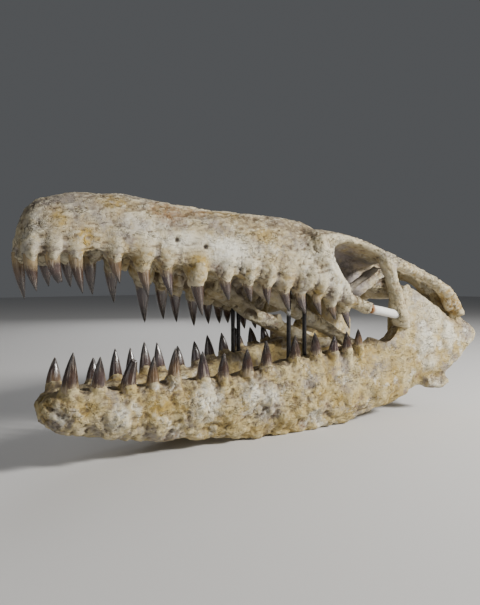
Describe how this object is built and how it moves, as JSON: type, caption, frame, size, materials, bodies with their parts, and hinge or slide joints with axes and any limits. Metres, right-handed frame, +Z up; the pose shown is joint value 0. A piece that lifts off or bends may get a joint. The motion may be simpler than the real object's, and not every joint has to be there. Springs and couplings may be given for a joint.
{
  "type": "fossil mosasaur skull",
  "caption": "Long fossil marine reptile skull with open toothed jaws, plaster cheek rods and steel jaw supports, resting on its lower jaws.",
  "frame": {"origin": "on the ground under the middle of the skull's box", "axes": "+X from the snout to the back of the skull, +Y to the animal's right, +Z up"},
  "size_m": [0.7066, 0.2842, 0.3058],
  "materials": {
    "skull_bone": "dry fossil bone, finely cracked, stained ochre and brown, with glossy brown tooth enamel",
    "jaw_bone": "rough fossil bone under crusts of pale matrix, with glossy brown tooth enamel",
    "enamel": "glossy brown fossil enamel, amber towards the root",
    "matrix": "matt, pale and gritty with whiter patches",
    "plaster": "smooth matt white plaster",
    "support_steel": "black, satin"
  },
  "bodies": {
    "root": {"cranium": "skull_bone", "left_mandible": "jaw_bone", "right_mandible": "jaw_bone", "left_quadrate": "matrix", "right_quadrate": "matrix", "left_cheek_rod": "plaster", "right_cheek_rod": "plaster", "left_front_support": "support_steel", "left_rear_support": "support_steel", "right_front_support": "support_steel", "right_rear_support": "support_steel"}
  },
  "joints": []
}
